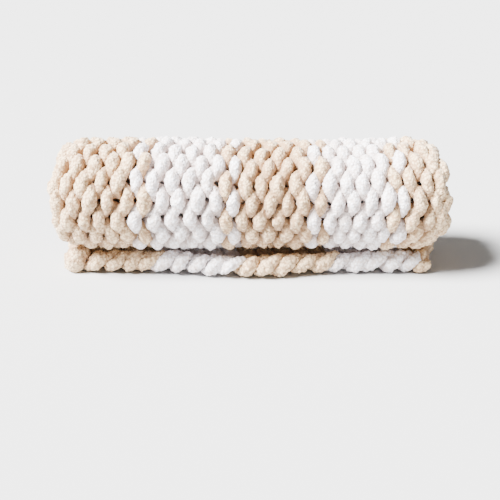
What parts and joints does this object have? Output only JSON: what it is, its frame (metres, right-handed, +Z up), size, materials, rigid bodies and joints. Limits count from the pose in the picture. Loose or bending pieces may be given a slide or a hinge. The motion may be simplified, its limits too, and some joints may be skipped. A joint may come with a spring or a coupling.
{
  "type": "rolled chunky knit blanket",
  "caption": "Chunky chenille blanket knitted in cream and white stripes, rolled up and lying on its loose end.",
  "frame": {"origin": "on the floor, under the middle of the blanket's box", "axes": "+X along the roll towards the bound-off edge, -Y towards the front, where the loose end shows, +Z up"},
  "size_m": [0.621, 0.1882, 0.2096],
  "materials": {
    "cream_chenille": "matt, fluffy chenille yarn",
    "white_chenille": "matt, fluffy chenille yarn"
  },
  "bodies": {
    "root": {"blanket": "cream_chenille"}
  },
  "joints": []
}
